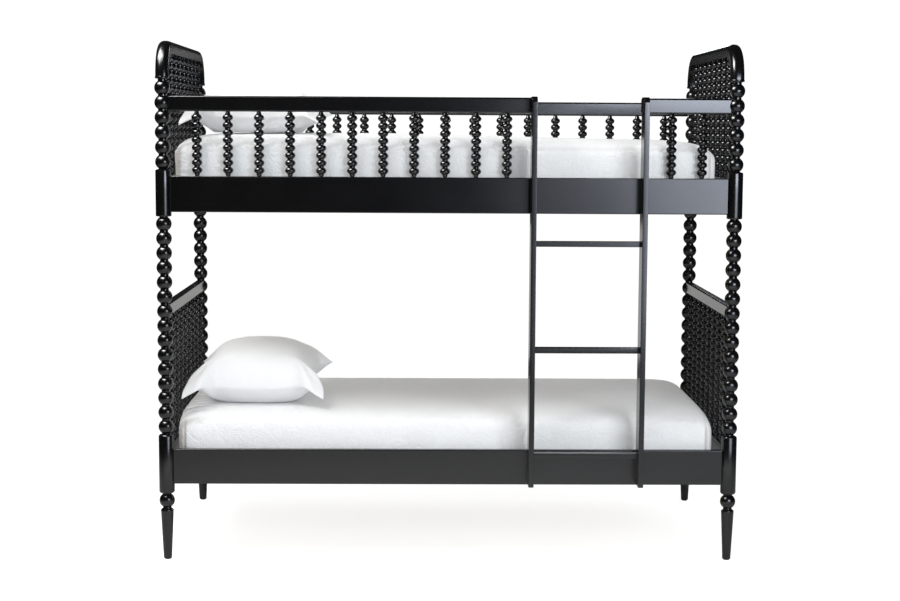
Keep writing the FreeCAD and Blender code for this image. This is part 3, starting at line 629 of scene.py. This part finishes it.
# ---------------------------------------------------------------- ledgers, slats and bolts
# Pine ledgers are screwed inside the side rails, and pine slats lie across
# them. Blackened steel bolts and barrel nuts draw the rails to the posts.

pine_along = bare_wood("bare_pine_along", (0.70, 0.53, 0.33), (0.52, 0.35, 0.19), "X")
pine_across = bare_wood("bare_pine_across", (0.72, 0.56, 0.36), (0.55, 0.38, 0.21), "Y")
black_steel = plain_finish(
    "blackened_steel",
    (0.09, 0.09, 0.10),
    (0.16, 0.16, 0.17),
    roughness=0.4,
    scale=400.0,
    metal=1.0,
)
for level in ("lower", "upper"):
    refinish(f"{level}_ledgers", pine_along)
    refinish(f"{level}_slats", pine_across)
    refinish(f"{level}_rail_bolts", black_steel)
refinish("ladder_bolts", black_steel)


# ---------------------------------------------------------------- guards
# A guard rail runs along the front on either side of the ladder and along
# the whole back. Short spool-turned spindles join it to the side rail.

GUARD_EDGE = 0.0065
GUARD_SPINDLE_SIDES = 20
for name, first, step, count in (
    ("front_long", (-0.8768, -0.4656), 0.1074, 11),
    ("front_short", (0.7694, -0.4656), 0.1074, 2),
    ("rear", (-0.880, 0.5314), 0.110, 17),
):
    rail = milled_board(f"guard_rail_{name}", GUARD_EDGE, steps=5)
    finish(rail, lacquer_lengthwise, "upper_bed", "lacquer", f"guard_rail_{name}")
    rings = spool(1.3544, 1.5769, count=8, neck=0.0102, tip=0.0068, taper=0.0076, steps=8)
    guard_spindle = turn_on_lathe("guard_spindle", GUARD_SPINDLE_SIDES, rings)
    row = row_of(guard_spindle, f"guard_{name}_spools", first, (step, 0), count)
    finish(row, lacquer_upright, "upper_bed", "lacquer", f"guard_spindles_{name}")
    bpy.data.objects.remove(guard_spindle)


# ---------------------------------------------------------------- ladder
# Two flat stiles stand against the front rails and carry three flat rungs.
# The front top corner of each stile is cut to a round.

STILE_CORNER = 0.021
STILE_EDGE = 0.0018
RUNG_EDGE = 0.0018
for side in ("left", "right"):
    node = f"ladder_stile_{side}"
    low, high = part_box(node)
    stile = plain_block(f"{node}_milled", (low + high) / 2, high - low)
    pick(stile, "EDGE", lambda place: place.y < low.y + HAIR and place.z > high.z - HAIR)
    bpy.ops.mesh.bevel(offset=STILE_CORNER, segments=8, affect="EDGES")
    bpy.ops.object.mode_set(mode="OBJECT")
    soften = stile.modifiers.new("eased_edges", "BEVEL")
    soften.width = STILE_EDGE
    soften.segments = 2
    soften.limit_method = "ANGLE"
    soften.angle_limit = math.radians(40)
    bpy.ops.object.modifier_apply(modifier=soften.name)
    plane_faces(stile)
    finish(stile, lacquer_upright, "upper_bed", "lacquer", node)
for k in (1, 2, 3):
    node = f"ladder_rung_{k}"
    rung = milled_board(node, RUNG_EDGE, steps=2)
    finish(rung, lacquer_lengthwise, "upper_bed", "lacquer", node)


# ---------------------------------------------------------------- mattresses
# Each foam mattress wears a white quilted cotton cover, drawn tight over its
# sides and tucked under. The cover is gathered over the head end, has a welted
# seam near each end of its sides, and is rolled along its front edge. Shade is
# painted grey into the crease under the rolled edge and into the gathers' troughs.

QUILT_RELIEF = 0.0036
GATHER_PITCH = 0.05
SCALLOP_PITCH = 0.108
SEAM_INSET = 0.026
CREASE_DEPTH = 0.034
ROLLED_EDGE = {"lower": 0.12, "upper": 0.6}
FOAM_ALLOWANCE = Vector((0.008, 0.008, -0.0118))
FOAM_EDGE = 0.034
# The tan that the seam line is tinted.
SEAM_LINE_TAN = (0.50, 0.41, 0.32, 1)
# The grey of the painted shade in the crease and in the troughs of the gathers.
PAINTED_FOLD_SHADE = (0.45, 0.42, 0.40, 1)


def function_of(value, operation, second=0.0):
    """Any other sum that is worked on one value, such as its sine."""
    return value.maths(operation, value, second)


def bell(offset, width):
    """One at the middle of a line, falling to nothing a width or two away."""
    share = offset / width
    return function_of(share * share * -1.0, "EXPONENT")


def climb(value, start, end):
    """Nought at the start, one at the end and a straight climb between."""
    return value.node("ShaderNodeMapRange", {"Value": value, 1: start, 2: end})


def cotton(name, relief_height, box=None, rolled=0.0):
    """White cotton, plain for a case or quilted for a cover that fills a box, with painted shade
    in the crease under its rolled edge and in the troughs of its gathers.
    """
    material, shader, place = new_material(name)
    shader.inputs["Roughness"].default_value = 0.85
    shader.inputs["Specular IOR Level"].default_value = 0.2
    shader.inputs["Sheen Weight"].default_value = 0.2
    shader.inputs["Sheen Roughness"].default_value = 0.5
    weave = noise(place, scale=900.0, detail=2.0)
    drift = noise(place, scale=5.0, detail=3.0)
    tint = mix_colours(drift, (0.80, 0.80, 0.80, 1), (0.85, 0.85, 0.855, 1))
    if box:
        low, high = box
        x, y, z = (
            place.node("ShaderNodeSeparateXYZ", {"Vector": place}, output=k) for k in range(3)
        )
        curl = noise(place, scale=19.0, detail=1.0, distortion=1.8)
        wander = function_of(curl * 5.0, "FRACT")
        ridge = function_of(wander - 0.5, "ABSOLUTE") * 2.0
        from_middle = function_of(x - (low.x + high.x) / 2, "ABSOLUTE")
        on_side = climb(z, high.z - 0.03, high.z - 0.07)
        seam = bell(from_middle - ((high.x - low.x) / 2 - SEAM_INSET), 0.005) * on_side
        scallop = function_of(function_of(x * (math.pi / SCALLOP_PITCH), "SINE"), "ABSOLUTE")
        sag = scallop * climb(x, 0.35, -0.05) * 0.012
        at_front = climb(y, low.y + 0.05, low.y + 0.02)
        crease = bell(z - (high.z - CREASE_DEPTH) - sag, 0.007) * at_front * rolled
        gather = function_of(y * (2 * math.pi / GATHER_PITCH) + curl * 3.0, "SINE")
        gather = gather * climb(x, low.x + 0.12, low.x + 0.03)
        height = weave * 0.1 + function_of(ridge, "POWER", 0.5) * 0.7
        height = height - seam * 2.2 - crease * 2.2 + gather * 2.6
        # The seam line is tinted tan, darker than the cloth beside it.
        tint = mix_colours(seam * 0.55, tint, SEAM_LINE_TAN)
        # Painted shade: the crease under the rolled front edge is greyed, as shade falls into it.
        tint = mix_colours(crease * 0.35, tint, PAINTED_FOLD_SHADE)
        # Painted shade: the troughs of the gathers are greyed, where shade falls between the
        # pleats.
        tint = mix_colours(gather * -0.6, tint, PAINTED_FOLD_SHADE)
    else:
        rumple = noise(place, scale=16.0, detail=2.0, distortion=1.0)
        height = weave * 0.1 + rumple * 4.0
    tint.to("Base Color", shader)
    relief(shader, height, strength=0.55, distance=relief_height)
    return material


def puff_up(piece, pressure, frames, reach):
    """Fills a sewn case, and holds each point within a reach of where it was."""
    before = [v.co.copy() for v in piece.data.vertices]
    filling = piece.modifiers.new("filling", "CLOTH")
    filling.settings.quality = 5
    filling.settings.mass = 0.3
    filling.settings.tension_stiffness = 20
    filling.settings.compression_stiffness = 18
    filling.settings.shear_stiffness = 8
    filling.settings.bending_stiffness = 0.6
    filling.settings.use_pressure = True
    filling.settings.uniform_pressure_force = pressure
    filling.settings.effector_weights.gravity = 0.0
    filling.point_cache.frame_start = 1
    filling.point_cache.frame_end = frames
    for step in range(1, frames + 1):
        bpy.context.scene.frame_set(step)
    bpy.ops.object.modifier_apply(modifier=filling.name)
    bpy.context.scene.frame_set(1)
    for point, start in zip(piece.data.vertices, before):
        moved = point.co - start
        if moved.length > reach:
            point.co = start + moved * (reach / moved.length)


def eased(value, start, end):
    """Nought before the start, one after the end, and a soft climb between."""
    share = min(1.0, max(0.0, (value - start) / (end - start)))
    return share * share * (3 - 2 * share)


def refine(piece, smoothing):
    """Smooths a soft piece and divides its mesh once."""
    soften = piece.modifiers.new("soften", "SMOOTH")
    soften.iterations = smoothing
    bpy.ops.object.modifier_apply(modifier=soften.name)
    finer = piece.modifiers.new("finer", "SUBSURF")
    finer.levels = 1
    finer.render_levels = 1
    bpy.ops.object.modifier_apply(modifier=finer.name)


def roll_off(inward, broad, broad_reach, tight, tight_reach):
    """How far a stuffed top has dropped at a distance inward from its edge."""
    return broad * math.exp(-inward / broad_reach) + tight * math.exp(-inward / tight_reach)


# The upper one falls a little towards its foot, and stops short at its head so
# that it lifts out past the bent rail. The lower one is fuller at both ends.
for level, foot_drop, end_fill, head_gap in (
    ("lower", 0.0, 1.0, 0.0),
    ("upper", 0.016, 0.0, 0.009),
):
    node = f"{level}_mattress"
    low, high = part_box(node)
    middle = (low + high) / 2
    size = high - low
    mattress = plain_block(f"{node}_covered", middle, size + FOAM_ALLOWANCE)
    round_over(FOAM_EDGE, steps=4)
    cells = mattress.modifiers.new("cells", "REMESH")
    cells.mode = "VOXEL"
    cells.voxel_size = 0.019
    bpy.ops.object.modifier_apply(modifier=cells.name)
    puff_up(mattress, pressure=3.0, frames=14, reach=0.006)
    refine(mattress, smoothing=3)
    for point in (v.co for v in mattress.data.vertices):
        above = max(0.0, (point.z - middle.z) / (size.z / 2))
        from_end = min(point.x - low.x, high.x - point.x)
        from_side = min(point.y - low.y, high.y - point.y)
        crown = roll_off(from_end, 0.008, 0.14, 0.026, 0.035)
        filled = 1.1 * eased(-point.x, 0.5, 0.8) + 0.7 * eased(point.x, 0.5, 0.8)
        crown *= 1 - end_fill * filled * eased(from_side, 0.0, 0.15)
        crown += roll_off(from_side, 0.010, 0.12, 0.018, 0.035)
        fall = foot_drop * eased(point.x, -0.3, 0.7)
        point.z -= above * (crown + fall)
        near_head = max(0.0, 1 - (point.x - low.x) / 0.075)
        pleat = math.sin(point.y * 2 * math.pi / GATHER_PITCH) * near_head * above ** 0.5
        point.x += 0.004 * pleat + head_gap * eased(-point.x, 0.80, 0.93)
        point.z -= 0.003 * pleat
    bpy.ops.object.shade_smooth()
    top = high - Vector((0, 0, foot_drop))
    cover = cotton(f"quilted_cotton_{level}", QUILT_RELIEF, (low, top), ROLLED_EDGE[level])
    finish(mattress, cover, f"{level}_mattress", "cover", node)


# ---------------------------------------------------------------- pillows
# A plump feather pillow in a white cotton case lies on each mattress. Its
# sides draw in between the corners, which the filling leaves empty, and so
# the corners stand out as soft, drooping ears.

PILLOW_RELIEF = 0.0010
SEAM_SHARE = 0.29
CASE_EDGE = 0.002
EAR_REACH = 0.010
EAR_TIP = 0.07
HEAD_DRAW, FOOT_DRAW, SIDE_DRAW = 0.12, 0.17, 0.13
FRONT_DROOP, REAR_DROOP = 0.26, 0.02
TOP_SHARE, BOTTOM_SHARE = 0.97, 0.02
BELLY_FULLNESS = 1.45
pillow_cotton = cotton("pillow_cotton", PILLOW_RELIEF)


def crowd_edge(share):
    """Moves the rows of a case's mesh closer together towards its edges."""
    return math.copysign(1 - (1 - abs(share)) ** 1.2, share)


def dome(u, v, u_power, v_power, fullness):
    """One in the middle of a case, falling to nought along its edges."""
    return ((1 - abs(u) ** u_power) * (1 - abs(v) ** v_power)) ** fullness


for level in ("lower", "upper"):
    node = f"{level}_pillow"
    low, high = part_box(node)
    middle = (low + high) / 2
    size = high - low
    alone()
    bpy.ops.mesh.primitive_grid_add(
        x_subdivisions=42, y_subdivisions=54, size=2.0, location=(0, 0, -1)
    )
    pillow = bpy.context.object
    pillow.name = f"{node}_cased"
    settle()
    bpy.ops.object.mode_set(mode="EDIT")
    bpy.ops.mesh.select_all(action="SELECT")
    bpy.ops.mesh.extrude_region_move(TRANSFORM_OT_translate={"value": (0, 0, 2)})
    bpy.ops.mesh.select_all(action="SELECT")
    bpy.ops.mesh.normals_make_consistent(inside=False)
    pick(pillow, "EDGE", lambda place: max(abs(place.x), abs(place.y)) > 1 - HAIR)
    bpy.ops.transform.edge_crease(value=1.0)
    bpy.ops.object.mode_set(mode="OBJECT")
    for point in (v.co for v in pillow.data.vertices):
        u, v, upper_side = crowd_edge(point.x), crowd_edge(point.y), point.z > 0
        from_side = (1 - abs(u)) * size.x / 2
        from_front = (1 - abs(v)) * size.y / 2
        ear = 1 - eased(max(from_side, from_front), 0.012, 0.080)
        x_draw = 1 - (HEAD_DRAW if u < 0 else FOOT_DRAW) * eased(from_front, 0.030, 0.125)
        y_draw = 1 - SIDE_DRAW * eased(from_side, 0.035, 0.125)
        tip = max(0.0, 1 - (from_side + from_front) / EAR_TIP)
        seam = SEAM_SHARE + 0.12 * u * u - (FRONT_DROOP if v < 0 else REAR_DROOP) * tip
        point.x = middle.x + size.x * 0.5 * u * x_draw - (EAR_REACH if u < 0 else 0.0) * ear
        point.y = middle.y + size.y * 0.5 * v * y_draw
        if upper_side:
            plump = dome(u, v, 2.6, 3.0, 0.5) * (1 - 0.94 * ear)
            point.z = low.z + size.z * (seam + (TOP_SHARE - seam) * plump) + CASE_EDGE
        else:
            belly = dome(u, v, 2.5, 2.8, 0.7) * (1 - 0.97 * ear)
            belly = min(1.0, belly * BELLY_FULLNESS)
            point.z = low.z + size.z * (seam - (seam - BOTTOM_SHARE) * belly) - CASE_EDGE
    puff_up(pillow, pressure=4.0, frames=20, reach=0.008)
    refine(pillow, smoothing=1)
    for point in (v.co for v in pillow.data.vertices):
        point.x = min(max(point.x, low.x - 0.008), high.x)
        point.z = min(max(point.z, low.z), high.z)
    bpy.ops.object.shade_smooth()
    finish(pillow, pillow_cotton, f"{level}_pillow", "pillowcase", node)
